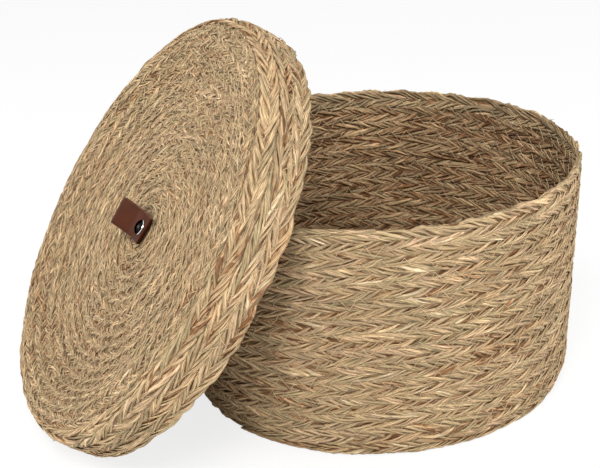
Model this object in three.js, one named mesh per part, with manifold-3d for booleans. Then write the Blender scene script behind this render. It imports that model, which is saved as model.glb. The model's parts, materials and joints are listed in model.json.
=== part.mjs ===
// A round basket wound from one flat plait of seagrass, with its lid off and leaning on the rim.
// Millimetres, +Z up. The origin is the centre of the basket's underside, and the lid leans on the -X side.
import * as THREE from 'three';
import { mergeVertices } from 'three/addons/utils/BufferGeometryUtils.js';
import Module from 'manifold-3d';

const wasm = await Module();
wasm.setup();

// Plait, the strip that every coil is wound from
const BRAID_THICKNESS = 7.2;
const COURSE_HEIGHT = 13.6; // one course of a wall, from its lower edge to the next course's
const COURSE_GAP = 0.6; // open seam between a course and its neighbour
const COURSE_CROWN = 2.3; // how far each edge of a course tapers

// Basket
const RIM_RADIUS = 166; // middle of the wall at the rim
const FOOT_RADIUS = 156; // middle of the wall at the floor, before the foot is rounded
const FOOT_ROUND = 16; // radius that draws the lowest course in
const WALL_COURSE_COUNT = 14;
const BASE_THICKNESS = 8;

// Lid
const LID_CLEARANCE = 2.7; // between rim and skirt, when the lid is on
const SKIRT_COURSE_COUNT = 3;
const SHOULDER_START = 22.6; // height above the open edge at which the skirt begins to turn over into the top
const SHOULDER_ROUND = 19; // radius of that turn, at the middle of the plait
const TOP_DISH = 15.2; // how far the level middle of the top lies below the crest of its shoulder
const DISH_RUN = 45; // from the crest inwards to the level middle
const TOP_LOOP_COUNT = 18;
const TOP_BEVEL = 1.5; // chamfer that parts one loop of the top from the next
const EYE_RADIUS = 1.5; // hole in the middle of the coil
const LEAN_DEGREES = 55.5; // of the lid's open face, from the floor

// Leather pull tab, a strip folded over on itself
const LEATHER = 2;
const TAB_WIDTH = 22.4;
const TAB_TAIL_UNDER = 6.8; // from the rivet to the end of the lower layer
const TAB_TAIL_OVER = 8.1; // from the rivet to the end of the upper layer
const TAB_FLEX = 9; // from the rivet to the line where the leather bends
const TAB_LOOP_LENGTH = 23.8; // from that line to the fold
const TAB_FOLD_RADIUS = 3.4;
const TAB_RISE_DEGREES = 34; // of the loop above the lid

// Rivet
const RIVET_OFFSET = 9.8; // from the lid's axis, so that the tab lies across the middle
const RIVET_HEAD_RADIUS = 6.25;
const RIVET_HEAD_HEIGHT = 3.4;
const RIVET_RIM = 0.8; // upright edge below the dome
const RIVET_POST_RADIUS = 2;
const RIVET_BACK_RADIUS = 6;
const RIVET_BACK_THICKNESS = 1.8;

// Fits and counts
const SEAT_GAP = 0.3; // between a piece and what it sits on
const STEPS_PER_LOOP = 24;
const CLIMB_STEPS = 4; // steps of a loop in which a wall's plait climbs to the next course
const CLIMB_HEADING_STEPS = 13; // where the climb begins, in steps from +X
const TAIL_STEPS = 1; // steps cut off each tapered end of a wall
const TOP_TAIL_STEPS = 6; // steps cut off each tapered end of the lid's top
const TOP_START_STEPS = 6; // where the top's coil begins, in steps from +X
const ROUND_STEPS = 24;
const DOME_STEPS = 6;

const wallHeight = WALL_COURSE_COUNT * COURSE_HEIGHT;
const lean = THREE.MathUtils.degToRad(LEAN_DEGREES);
const halfBraid = BRAID_THICKNESS / 2;

// The lid's section at the middle of the plait: up the skirt, round the shoulder and down to the level middle
const skirtRadius = RIM_RADIUS + BRAID_THICKNESS + LID_CLEARANCE;
const crestRadius = skirtRadius - SHOULDER_ROUND;
const crestHeight = SHOULDER_START + SHOULDER_ROUND;
const lidHeight = crestHeight + halfBraid;
const topMiddle = lidHeight - TOP_DISH; // upper face of the level middle
const levelRadius = crestRadius - DISH_RUN;
const dishSlope = 2 * Math.atan(TOP_DISH / DISH_RUN); // where the dish turns over into the shoulder
const dishRound = DISH_RUN / Math.sin(dishSlope) - SHOULDER_ROUND;
const dishLength = dishRound * dishSlope;
const skirtLength = SKIRT_COURSE_COUNT * COURSE_HEIGHT;
const skirtTurn = (skirtLength - SHOULDER_START) / SHOULDER_ROUND; // how far round the shoulder the skirt goes
const topLength = levelRadius + dishLength + SHOULDER_ROUND * (dishSlope + Math.PI / 2 - skirtTurn);
const topPitch = (topLength - EYE_RADIUS) / TOP_LOOP_COUNT;

const seagrass = new THREE.MeshStandardMaterial({ color: 0xb89c72, roughness: 0.9, metalness: 0 });
const seagrassLid = new THREE.MeshStandardMaterial({ color: 0xbda27a, roughness: 0.9, metalness: 0 });
const leather = new THREE.MeshStandardMaterial({ color: 0x5b3126, roughness: 0.55, metalness: 0 });
const gunmetal = new THREE.MeshStandardMaterial({ color: 0x3a3a3d, roughness: 0.15, metalness: 1 });

const tau = 2 * Math.PI;

// [radius, height] of a point on a section's middle line, or off it by a distance to its outer side
function offLine(line, along, away) {
  const { radius, height, tilt } = line(along);
  return [radius + away * Math.sin(tilt), height + away * Math.cos(tilt)];
}

// The six corners of a wall course between two lengths along the wall's middle line, anticlockwise
function courseSection(line, low, high) {
  const bottom = low + COURSE_GAP / 2;
  const top = high - COURSE_GAP / 2;
  const crown = Math.min(COURSE_CROWN, (top - bottom) / 3);
  return [
    offLine(line, bottom, 0),
    offLine(line, bottom + crown, halfBraid),
    offLine(line, top - crown, halfBraid),
    offLine(line, top, 0),
    offLine(line, top - crown, -halfBraid),
    offLine(line, bottom + crown, -halfBraid),
  ];
}

// Courses climbed at a turn: level for most of each turn, then up by one in its last steps
function coursesClimbed(turn) {
  const climb = CLIMB_STEPS / STEPS_PER_LOOP;
  const whole = Math.floor(turn);
  const part = Math.max(0, (turn - whole - 1 + climb) / climb);
  return whole + 1 + (1 - Math.cos(Math.PI * part)) / 2;
}

// Sections of a wall of level courses, whose first and last climbs are tapered so that both edges are level
function wallSections(courses, line) {
  const firstStep = TAIL_STEPS - CLIMB_STEPS;
  const lastStep = courses * STEPS_PER_LOOP - TAIL_STEPS;
  const sections = [];
  for (let step = firstStep; step <= lastStep; step++) {
    const climbed = coursesClimbed(step / STEPS_PER_LOOP);
    const low = Math.max(climbed - 1, 0) * COURSE_HEIGHT;
    const high = Math.min(climbed, courses) * COURSE_HEIGHT;
    const heading = (tau * (step + CLIMB_HEADING_STEPS + CLIMB_STEPS)) / STEPS_PER_LOOP;
    sections.push({ heading, corners: courseSection(line, low, high) });
  }
  return sections;
}

// Middle of the basket's wall: a straight flare, drawn in by a quarter round at the foot
function basketRadius(height) {
  const z = Math.max(height, COURSE_HEIGHT / 2);
  const rise = Math.max(FOOT_ROUND - z, 0);
  const drawnIn = FOOT_ROUND - Math.sqrt(FOOT_ROUND ** 2 - rise ** 2);
  return FOOT_RADIUS + ((RIM_RADIUS - FOOT_RADIUS) * z) / wallHeight - drawnIn;
}

function basketLine(along) {
  return { radius: basketRadius(along), height: along, tilt: Math.PI / 2 };
}

// Middle of the lid's skirt, from the open edge: upright, then round the shoulder
function skirtLine(along) {
  const turn = Math.max(along - SHOULDER_START, 0) / SHOULDER_ROUND;
  const radius = crestRadius + SHOULDER_ROUND * Math.cos(turn);
  const height = Math.min(along, SHOULDER_START) + SHOULDER_ROUND * Math.sin(turn);
  return { radius, height, tilt: Math.PI / 2 - turn };
}

// Middle of the lid's top, from the axis: level, up the side of the dish, then over the shoulder
function topLine(along) {
  if (along < levelRadius + dishLength) {
    const turn = Math.max(along - levelRadius, 0) / dishRound;
    const radius = Math.min(along, levelRadius) + dishRound * Math.sin(turn);
    const height = crestHeight - TOP_DISH + dishRound * (1 - Math.cos(turn));
    return { radius, height, tilt: -turn };
  }
  const turn = (along - levelRadius - dishLength) / SHOULDER_ROUND - dishSlope;
  const radius = crestRadius + SHOULDER_ROUND * Math.sin(turn);
  const height = crestHeight - SHOULDER_ROUND * (1 - Math.cos(turn));
  return { radius, height, tilt: turn };
}

// Sections of the lid's top: a steady spiral from the eye, whose last loop thins out against the skirt
function topSections() {
  const lastStep = (TOP_LOOP_COUNT + 1) * STEPS_PER_LOOP - TOP_TAIL_STEPS;
  const sections = [];
  for (let step = TOP_TAIL_STEPS; step <= lastStep; step++) {
    const turn = step / STEPS_PER_LOOP;
    const inner = EYE_RADIUS + topPitch * Math.max(turn - 1, 0) + COURSE_GAP / 2;
    const outer = EYE_RADIUS + topPitch * Math.min(turn, TOP_LOOP_COUNT) - COURSE_GAP / 2;
    const bevel = Math.min(TOP_BEVEL, (outer - inner) / 3);
    const corners = [
      offLine(topLine, inner, -halfBraid),
      offLine(topLine, outer, -halfBraid),
      offLine(topLine, outer - bevel, halfBraid),
      offLine(topLine, inner + bevel, halfBraid),
    ];
    sections.push({ heading: (tau * (step + TOP_START_STEPS)) / STEPS_PER_LOOP, corners });
  }
  return sections;
}

// One unbroken tube wound round Z through its sections, closed at both ends
function windingGeometry(sections) {
  const sides = sections[0].corners.length;
  const positions = [];
  for (const { heading, corners } of sections) {
    for (const [radius, height] of corners) {
      positions.push(radius * Math.cos(heading), radius * Math.sin(heading), height);
    }
  }
  const index = [];
  for (let i = 0; i + 1 < sections.length; i++) {
    for (let j = 0; j < sides; j++) {
      const a = i * sides + j;
      const d = i * sides + ((j + 1) % sides);
      const b = a + sides;
      const c = d + sides;
      index.push(a, b, c, a, c, d);
    }
  }
  const last = (sections.length - 1) * sides;
  for (let j = 1; j + 1 < sides; j++) {
    index.push(0, j, j + 1, last, last + j + 1, last + j);
  }
  const geometry = new THREE.BufferGeometry();
  geometry.setAttribute('position', new THREE.Float32BufferAttribute(positions, 3));
  geometry.setIndex(index);
  geometry.computeVertexNormals();
  return geometry;
}

// Least distance between the corners of a winding that lie half a loop or more apart along it
function leastGap(geometry, sides) {
  const points = geometry.getAttribute('position').array;
  const apart = 3 * sides * (STEPS_PER_LOOP / 2);
  let least = Infinity;
  for (let i = 0; i < points.length; i += 3) {
    for (let k = i + apart; k < points.length; k += 3) {
      const dx = points[i] - points[k];
      const dy = points[i + 1] - points[k + 1];
      const dz = points[i + 2] - points[k + 2];
      least = Math.min(least, dx * dx + dy * dy + dz * dz);
    }
  }
  return Math.sqrt(least);
}

function winding(name, sections) {
  const geometry = windingGeometry(sections);
  const gap = leastGap(geometry, sections[0].corners.length);
  console.log(`${name}: least gap to itself ${gap.toFixed(2)} mm`);
  return geometry;
}

function namedMesh(name, geometry, material) {
  const mesh = new THREE.Mesh(geometry, material);
  mesh.name = name;
  return mesh;
}

// A solid of revolution about Z from [radius, height] pairs, listed upwards from the axis and back to it
function turned(profile, steps) {
  const points = profile.map(([radius, height]) => new THREE.Vector2(radius, height));
  return new THREE.LatheGeometry(points, steps).rotateX(Math.PI / 2);
}

// A strip of the given width across X, from its outline drawn along Y and Z
function acrossX(shape, width) {
  const geometry = new THREE.ExtrudeGeometry(shape, { depth: width, bevelEnabled: false, curveSegments: 8 });
  const alongY = new THREE.Vector3(0, 1, 0);
  const alongZ = new THREE.Vector3(0, 0, 1);
  const alongX = new THREE.Vector3(1, 0, 0);
  geometry.applyMatrix4(new THREE.Matrix4().makeBasis(alongY, alongZ, alongX));
  return geometry.translate(-width / 2, 0, 0);
}

function toSolid(geometry) {
  const bare = geometry.clone();
  bare.deleteAttribute('normal');
  bare.deleteAttribute('uv');
  const merged = mergeVertices(bare, 1e-4);
  const vertProperties = new Float32Array(merged.getAttribute('position').array);
  const triVerts = new Uint32Array(merged.getIndex().array);
  return new wasm.Manifold(new wasm.Mesh({ numProp: 3, vertProperties, triVerts }));
}

function toGeometry(solid) {
  const { vertProperties, triVerts } = solid.getMesh();
  const geometry = new THREE.BufferGeometry();
  geometry.setAttribute('position', new THREE.Float32BufferAttribute(vertProperties, 3));
  geometry.setIndex(Array.from(triVerts));
  geometry.computeVertexNormals();
  return geometry;
}

// A hole for the rivet's post, parallel to Z and at a distance along Y, right through what is given
function drilled(geometry, y) {
  const radius = RIVET_POST_RADIUS + SEAT_GAP;
  const drill = new THREE.CylinderGeometry(radius, radius, 2 * lidHeight, ROUND_STEPS);
  drill.rotateX(Math.PI / 2).translate(0, y, 0);
  return toGeometry(toSolid(geometry).subtract(toSolid(drill)));
}

// Base: a disc inside the lowest course
function baseGeometry() {
  const radius = basketRadius(0) - halfBraid - SEAT_GAP;
  return turned([[0, 0], [radius, 0], [radius, BASE_THICKNESS], [0, BASE_THICKNESS]], STEPS_PER_LOOP);
}

// Foot of the tab: two layers of leather, the upper one longer, with the rivet's hole
function footGeometry() {
  const end = TAB_FLEX - LEATHER - SEAT_GAP;
  const outline = new THREE.Shape();
  outline.moveTo(-TAB_TAIL_UNDER, 0);
  outline.lineTo(end, 0);
  outline.lineTo(end, 2 * LEATHER);
  outline.lineTo(-TAB_TAIL_OVER, 2 * LEATHER);
  outline.lineTo(-TAB_TAIL_OVER, LEATHER);
  outline.lineTo(-TAB_TAIL_UNDER, LEATHER);
  return drilled(acrossX(outline, TAB_WIDTH), 0);
}

// Loop of the tab, drawn from the bend line: a round knuckle there, the fold at the far end, a slot between
function loopGeometry() {
  const foldAt = TAB_LOOP_LENGTH - TAB_FOLD_RADIUS;
  const slotRadius = TAB_FOLD_RADIUS - LEATHER;
  const quarter = Math.PI / 2;
  const outline = new THREE.Shape();
  outline.absarc(0, 0, LEATHER, quarter, 3 * quarter, false);
  outline.absarc(foldAt, 0, TAB_FOLD_RADIUS, -quarter, quarter, false);
  const slot = new THREE.Path();
  slot.moveTo(LEATHER, 0);
  slot.absarc(foldAt, 0, slotRadius, -quarter, quarter, false);
  outline.holes.push(slot);
  return acrossX(outline, TAB_WIDTH);
}

// Rivet cap: a post from below the lid's top, a flat seat on the leather and a low dome
function rivetCapGeometry() {
  const postEnd = -BRAID_THICKNESS - SEAT_GAP;
  const seat = 2 * LEATHER + 2 * SEAT_GAP;
  const domeBase = seat + RIVET_RIM;
  const domeHeight = RIVET_HEAD_HEIGHT - RIVET_RIM;
  const post = [[0, postEnd], [RIVET_POST_RADIUS, postEnd], [RIVET_POST_RADIUS, seat]];
  const profile = [...post, [RIVET_HEAD_RADIUS, seat]];
  for (let i = 0; i < DOME_STEPS; i++) {
    const angle = (Math.PI / 2) * (i / DOME_STEPS);
    profile.push([RIVET_HEAD_RADIUS * Math.cos(angle), domeBase + domeHeight * Math.sin(angle)]);
  }
  profile.push([0, domeBase + domeHeight]);
  return turned(profile, ROUND_STEPS);
}

// Rivet back: a shallow button under the lid's top, where the post is clenched
function rivetBackGeometry() {
  const top = -BRAID_THICKNESS - 2 * SEAT_GAP;
  const bottom = top - RIVET_BACK_THICKNESS;
  const face = RIVET_BACK_RADIUS - RIVET_BACK_THICKNESS / 2;
  const waist = top - RIVET_BACK_THICKNESS / 2;
  const edge = [[face, bottom], [RIVET_BACK_RADIUS, waist], [RIVET_BACK_RADIUS, top]];
  return turned([[0, bottom], ...edge, [0, top]], ROUND_STEPS);
}

const basket = new THREE.Group();
basket.add(namedMesh('basket_base', baseGeometry(), seagrass));
const wallCoil = winding('basket_wall_coil', wallSections(WALL_COURSE_COUNT, basketLine));
basket.add(namedMesh('basket_wall_coil', wallCoil, seagrass));

const lid = new THREE.Group();
const skirtCoil = winding('lid_skirt_coil', wallSections(SKIRT_COURSE_COUNT, skirtLine));
lid.add(namedMesh('lid_skirt_coil', skirtCoil, seagrassLid));
const topCoil = winding('lid_top_coil', topSections());
lid.add(namedMesh('lid_top_coil', drilled(topCoil, -RIVET_OFFSET), seagrassLid));

// The tab and its rivet stand on the level middle of the top, with the loop along the lid's own +Y
const tabSeat = new THREE.Group();
tabSeat.position.set(0, -RIVET_OFFSET, topMiddle);
lid.add(tabSeat);

const foot = namedMesh('tab_foot', footGeometry(), leather);
foot.position.z = SEAT_GAP;
tabSeat.add(foot);

const loop = namedMesh('tab_loop', loopGeometry(), leather);
loop.position.set(0, TAB_FLEX, SEAT_GAP + LEATHER);
loop.rotation.x = THREE.MathUtils.degToRad(TAB_RISE_DEGREES);
tabSeat.add(loop);

tabSeat.add(namedMesh('rivet_cap', rivetCapGeometry(), gunmetal));
tabSeat.add(namedMesh('rivet_back', rivetBackGeometry(), gunmetal));

// The lid stands on the lowest corner of its skirt, and the underside of its top leans on the rim's corner
const skirtEdge = courseSection(skirtLine, 0, COURSE_HEIGHT);
const skirtDrop = Math.max(...skirtEdge.map(([r, h]) => r * Math.sin(lean) - h * Math.cos(lean)));
const lidZ = skirtDrop + SEAT_GAP;
const rimCourse = courseSection(basketLine, wallHeight - COURSE_HEIGHT, wallHeight);
const rimReach = Math.max(...rimCourse.map(([r, z]) => r * Math.sin(lean) + (z - lidZ) * Math.cos(lean)));
const underTop = topMiddle - BRAID_THICKNESS;
lid.position.set(-(rimReach - underTop + SEAT_GAP) / Math.sin(lean), 0, lidZ);
lid.rotation.y = -lean;

const group = new THREE.Group();
group.add(basket, lid);

export default group;
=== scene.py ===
# %% [markdown]
# # A woven seagrass basket with its lid off
# This lesson dresses a measured model of a round basket. The model gives every piece its size and
# its place. What it lacks is the weave: thousands of dried blades, plaited, wound and sewn.
# We load the model first and keep its pieces, whose boxes give the sizes.

import json

import bpy
import numpy as np
from mathutils import Matrix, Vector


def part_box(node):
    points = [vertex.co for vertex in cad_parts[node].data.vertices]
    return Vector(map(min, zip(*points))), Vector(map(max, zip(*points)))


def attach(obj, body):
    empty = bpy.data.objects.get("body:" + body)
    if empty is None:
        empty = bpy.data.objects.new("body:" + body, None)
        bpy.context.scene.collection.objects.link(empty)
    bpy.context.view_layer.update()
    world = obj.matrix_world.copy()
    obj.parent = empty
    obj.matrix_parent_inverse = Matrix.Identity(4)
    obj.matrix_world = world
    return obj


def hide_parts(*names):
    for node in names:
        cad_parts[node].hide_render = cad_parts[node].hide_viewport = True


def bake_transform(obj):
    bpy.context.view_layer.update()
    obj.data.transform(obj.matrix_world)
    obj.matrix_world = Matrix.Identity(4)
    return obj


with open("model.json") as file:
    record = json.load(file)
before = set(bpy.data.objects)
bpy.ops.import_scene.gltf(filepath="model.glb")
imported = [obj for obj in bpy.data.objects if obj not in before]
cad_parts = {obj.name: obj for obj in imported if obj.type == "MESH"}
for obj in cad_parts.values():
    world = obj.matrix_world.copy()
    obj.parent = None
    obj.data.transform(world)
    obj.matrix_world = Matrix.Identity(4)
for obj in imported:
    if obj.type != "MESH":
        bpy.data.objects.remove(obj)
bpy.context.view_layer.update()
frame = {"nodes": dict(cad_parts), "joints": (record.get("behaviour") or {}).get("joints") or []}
MM = 0.001
print("pieces of the model:", ", ".join(sorted(frame["nodes"])))

# %% [markdown]
# ## Sizes
# Sizes typed in by hand go wrong when the basket changes, so we read them from the model. The wall's box
# gives the height and the rim. The lid leans, so it needs its own axes: up its slope, across it, and out
# of its top. The tab bends about the first one, so its joint knows it, and it tells where the lid stands.

# %% Read the sizes
PLAIT_THICKNESS = 7.2 * MM
WALL_COURSES = 14
SKIRT_COURSES = 3
EDGE_ROUND = 2.6 * MM
wall_low, wall_high = (np.array(corner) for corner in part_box("basket_wall_coil"))
skirt_high = np.array(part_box("lid_skirt_coil")[1])
base_high = np.array(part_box("basket_base")[1])

BASKET_HEIGHT = wall_high[2] + wall_low[2]
COURSE = BASKET_HEIGHT / WALL_COURSES
RIM_CORNER = BASKET_HEIGHT - EDGE_ROUND
RIM_CORNER_RADIUS = wall_high[0] - PLAIT_THICKNESS / 2
SKIRT_RADIUS = skirt_high[1] - PLAIT_THICKNESS / 2

tab_joint = next(joint for joint in frame["joints"] if joint["name"] == "tab_lift")
UP_SLOPE = np.array(tab_joint["axis"])
ACROSS_LID = np.array([0.0, 1.0, 0.0])
OUT_OF_LID = np.cross(UP_SLOPE, ACROSS_LID)
LID_AXES = np.stack([UP_SLOPE, ACROSS_LID, OUT_OF_LID])
TAB_BEND = np.array([0.0, -0.8, 32.3]) * MM
LID_FOOT = np.array(tab_joint["pos_m"]) - TAB_BEND @ LID_AXES


def on_lid(places):
    """Moves places from the lid's own axes to the room: the lid's foot, plus each number along its axis."""
    return LID_FOOT + places @ LID_AXES


print(f"basket {BASKET_HEIGHT:.4f} m high, one course {COURSE:.4f} m, lid foot {LID_FOOT.round(4)}")

# %% [markdown]
# ## Camera
# The camera stands where the photographer stood: in front, a little to the left and above the rim. A long
# lens keeps the rim from bulging. The numbers, with a slight roll, come from matching the curves of rim
# and foot in the photograph, so the picture can be laid over the render.

# %% Set up the camera
CAMERA_PLACE = np.array([-0.4394, -1.0501, 0.5954])
CAMERA_HEADING = np.radians(70.36)
CAMERA_PITCH = 0.3944
CAMERA_ROLL = 0.0502
CAMERA_LENS = 89.12
SENSOR_WIDTH = 36.0


def rolled(across, outward, roll):
    """The two directions across and out of a thing, turned about its length by an angle."""
    return across * np.cos(roll) - outward * np.sin(roll), outward * np.cos(roll) + across * np.sin(roll)


def stand(thing, right, upward, backward, place):
    """Puts a camera or a lamp at a place: the columns of its matrix are its three axes and that place."""
    turned = np.eye(4)
    turned[:3] = np.stack([right, upward, backward, place], axis=-1)
    thing.matrix_world = Matrix(turned.tolist())
    bpy.context.scene.collection.objects.link(thing)


level = np.cos(CAMERA_PITCH)
forward = np.array([np.cos(CAMERA_HEADING) * level, np.sin(CAMERA_HEADING) * level, -np.sin(CAMERA_PITCH)])
flat_right = np.array([np.sin(CAMERA_HEADING), -np.cos(CAMERA_HEADING), 0.0])
flat_up = np.cross(flat_right, forward)

lens = bpy.data.cameras.new("photo_camera")
lens.sensor_fit = "HORIZONTAL"
lens.sensor_width = SENSOR_WIDTH
lens.lens = CAMERA_LENS
camera = bpy.data.objects.new("photo_camera", lens)
stand(camera, *rolled(flat_right, flat_up, CAMERA_ROLL), -forward, CAMERA_PLACE)
bpy.context.scene.camera = camera
bpy.context.scene.view_settings.view_transform = "Standard"
print("camera looks along", forward.round(3))

# %% [markdown]
# ## Writing shader sums in Python
# Blender's finishes are wired boxes. Wiring them by hand in code soon gets unreadable, so one small class
# stands for the end of a wire. Adding or multiplying two wires puts a Math box between them, and one
# method makes any other box. A few helpers name the boxes that come back in every finish.

# %% Make the wire class


class Wire:
    """One output of a node. Sums of wires and numbers become Math nodes in the same tree."""

    def __init__(self, tree, socket=None):
        self.tree = tree
        self.socket = socket

    def node(self, kind, settings=None, inputs=None, output=0):
        """Adds a node of this kind: its settings first, then a number, colour or wire for each input."""
        made = self.tree.nodes.new(kind)
        for name, value in (settings or {}).items():
            setattr(made, name, value)
        for place, value in (inputs or {}).items():
            if isinstance(value, Wire):
                self.tree.links.new(value.socket, made.inputs[place])
            else:
                made.inputs[place].default_value = value
        return Wire(self.tree, made.outputs[output])

    def math(self, operation, first, second=0.0):
        """A Math node for this operation on one or two values."""
        return self.node("ShaderNodeMath", {"operation": operation}, {0: first, 1: second})

    def __add__(self, other):
        return self.math("ADD", self, other)

    def __sub__(self, other):
        return self.math("SUBTRACT", self, other)

    def __mul__(self, other):
        return self.math("MULTIPLY", self, other)

    __radd__ = __add__
    __rmul__ = __mul__

    def from_to(self, first, last):
        """The number that lies this far, from 0 to 1, from the first number to the last."""
        return first + (last - first) * self

    def between(self, first, second):
        """The colour that lies this far, from 0 to 1, from the first colour to the second."""
        settings = {"data_type": "RGBA"}
        return self.node("ShaderNodeMix", settings, {0: self, 6: first, 7: second}, output=2)

    def to(self, shader, socket):
        """Leads this wire into a socket of a shader."""
        self.tree.links.new(self.socket, shader.inputs[socket])


def set_stops(ramp, stops):
    """Gives a colour ramp these stops: pairs of a place from 0 to 1 and a colour."""
    while len(ramp.elements) < len(stops):
        ramp.elements.new(1.0)
    for element, (place, colour) in zip(ramp.elements, stops):
        element.position = place
        element.color = colour


# %% Name the boxes that come back


def grey(level):
    """A grey of this linear level."""
    return (level, level, level, 1.0)


def paint(red, green, blue):
    """A colour as a screen writes it, from 0 to 255, as the linear numbers that a shader takes."""
    screen = np.array([red, green, blue]) / 255
    linear = np.where(screen <= 0.04045, screen / 12.92, ((screen + 0.055) / 1.055) ** 2.4)
    return (*linear.tolist(), 1.0)


def new_finish(name, **constants):
    """A material with one Principled shader. The constants go straight onto its sockets."""
    material = bpy.data.materials.new(name)
    material.use_nodes = True
    shader = material.node_tree.nodes["Principled BSDF"]
    for socket, value in constants.items():
        shader.inputs[socket.replace("_", " ")].default_value = value
    return material, Wire(material.node_tree), shader


def own_place(start):
    """Places on the piece, in its own Object coordinates."""
    return start.node("ShaderNodeTexCoord", output="Object")


def mark(start, name):
    """The number that each point of the piece carries under this name."""
    return start.node("ShaderNodeAttribute", {"attribute_name": name}, output="Fac")


def noise(place, scale, detail=2.0, dimensions="3D"):
    """Soft noise from 0 to 1, this many times finer than the places it is read at."""
    settings = {"noise_dimensions": dimensions}
    return place.node("ShaderNodeTexNoise", settings, {"Vector": place, "Scale": scale, "Detail": detail})


def bump(height, strength, distance):
    """The directions of a surface that this height raises and sinks by up to the distance."""
    return height.node("ShaderNodeBump", None, {"Strength": strength, "Distance": distance, "Height": height})


print("straw colour in linear numbers:", [round(part, 3) for part in paint(188, 160, 120)])

# %% [markdown]
# ## Floor, backdrop and light
# The photograph is a cut-out on white. A floor of white paint alone would come out grey, so for the camera
# it also glows a little, and the basket's soft shadow still shows. The world does the same: white for the
# camera and for mirrors, dimmer as a light. One big soft lamp above the photographer does most of the
# work, and two smaller ones stand left and right. The left one looks straight at the lid's top.

# %% Build the stage
WORLD_LEVEL = 0.41
FLOOR_GLOW = 0.8
FLOOR_REACH = 12.0
FLOOR_DROP = -0.4 * MM
UP = np.array([0.0, 0.0, 1.0])


def unit(arrows):
    """Arrows of length one in the same directions."""
    return arrows / np.linalg.norm(arrows, axis=-1, keepdims=True)


def seen_directly(start):
    """One for rays from the camera, from a mirror or through glass, and zero for the light they gather."""
    kinds = ("Is Camera Ray", "Is Glossy Ray", "Is Transmission Ray")
    seen, glossy, clear = (start.node("ShaderNodeLightPath", output=kind) for kind in kinds)
    return start.math("MAXIMUM", start.math("MAXIMUM", seen, glossy), clear)


def soft_lamp(name, place, aim, size, power):
    """A lamp with a square face at a place, turned to look at its aim."""
    lamp = bpy.data.lights.new(name, "AREA")
    lamp.size = size
    lamp.energy = power
    backward = unit(np.subtract(place, aim))
    side = unit(np.cross(UP, backward))
    stand(bpy.data.objects.new(name, lamp), side, np.cross(backward, side), backward, place)


world = bpy.data.worlds.new("white_room")
world.use_nodes = True
bpy.context.scene.world = world
backdrop = world.node_tree.nodes["Background"]
backdrop.inputs["Color"].default_value = grey(1.0)
seen_directly(Wire(world.node_tree)).from_to(WORLD_LEVEL, 1.0).to(backdrop, "Strength")

floor_paint, start, shader = new_finish("pale_floor", Roughness=0.9)
noise(own_place(start), scale=2.0).between(grey(0.93), grey(0.97)).to(shader, "Base Color")
glow = start.node("ShaderNodeEmission", None, {"Color": grey(1.0), "Strength": 1.0})
dull = Wire(start.tree, shader.outputs[0])
mixed = start.node("ShaderNodeMixShader", None, {0: seen_directly(start) * FLOOR_GLOW, 1: dull, 2: glow})
mixed.to(floor_paint.node_tree.nodes["Material Output"], "Surface")

corners = np.array([[-1, -1, 0], [1, -1, 0], [1, 1, 0], [-1, 1, 0]]) * FLOOR_REACH + UP * FLOOR_DROP
sheet = bpy.data.meshes.new("pale_floor")
sheet.from_pydata(corners.tolist(), [], [(0, 1, 2, 3)])
sheet.materials.append(floor_paint)
floor = bpy.data.objects.new("pale_floor", sheet)
bpy.context.scene.collection.objects.link(floor)

soft_lamp("key_lamp", place=(-0.9, -1.9, 2.3), aim=(-0.05, 0.0, 0.1), size=1.1, power=71.0)
soft_lamp("side_lamp", place=(1.7, -1.2, 1.5), aim=(0.0, 0.0, 0.1), size=1.0, power=23.0)
soft_lamp("left_lamp", place=(-1.6, 0.45, 1.0), aim=(-0.2, 0.0, 0.17), size=0.8, power=13.0)
print("stage set, world level", WORLD_LEVEL)

# %% [markdown]
# ## Tubes in bulk
# A blade of seagrass is a long flattened tube. The basket has hundreds of metres of them, so they are
# worked out as whole arrays: tubes, rings along a tube, points round a ring. Each tube also gets its own
# strip on a flat map, folded into rows, so that a finish can run along the blade.

# %% Make tubes from arrays
MAP_NAME = "OFBake"
RINGS_PER_ROW = 160
END_DISC = 0.4


def tube_faces(tubes, rings, sides):
    """Corner numbers of the tubes' side faces, and of the two end faces of each tube."""
    ring = np.arange(tubes * rings).reshape(tubes, rings, 1) * sides
    here = np.arange(sides)
    after = (here + 1) % sides
    start, end = ring[:, :-1], ring[:, 1:]
    walls = np.stack([start + here, start + after, end + after, end + here], axis=-1).reshape(-1, 4)
    first = ring[:, 0] + here[::-1]
    last = ring[:, -1] + here
    return walls, np.concatenate([first, last])


def round_ring(sides):
    """A ring of points on the unit circle: cosine and sine of even parts of a turn."""
    angle = 2 * np.pi * np.arange(sides) / sides
    return np.stack([np.cos(angle), np.sin(angle)], axis=-1)


def tube_map(tubes, rings, sides):
    """Map places of those faces: u runs along a row of rings, v counts the rows and goes round the tube. An
    end face is a small disc in the middle of the tube's first step."""
    rows = -(-(rings - 1) // RINGS_PER_ROW)
    strips = tubes * rows
    tube, step, here, _ = np.ogrid[:tubes, : rings - 1, :sides, :1]
    u = (step % RINGS_PER_ROW + np.array([0, 0, 1, 1])) / RINGS_PER_ROW
    v = (tube * rows + step // RINGS_PER_ROW + (here + np.array([0, 1, 1, 0])) / sides) / strips
    walls = np.stack(np.broadcast_arrays(u, v), axis=-1).reshape(-1, 2)
    cell = 1 / np.array([RINGS_PER_ROW, strips])
    first_cell = np.stack([np.zeros(tubes), np.arange(tubes) * rows], axis=-1)
    middle = (first_cell + 0.5) * cell
    ends = np.tile(middle[:, None] + END_DISC * round_ring(sides) * cell, (2, 1, 1)).reshape(-1, 2)
    return np.concatenate([walls, ends])


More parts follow.
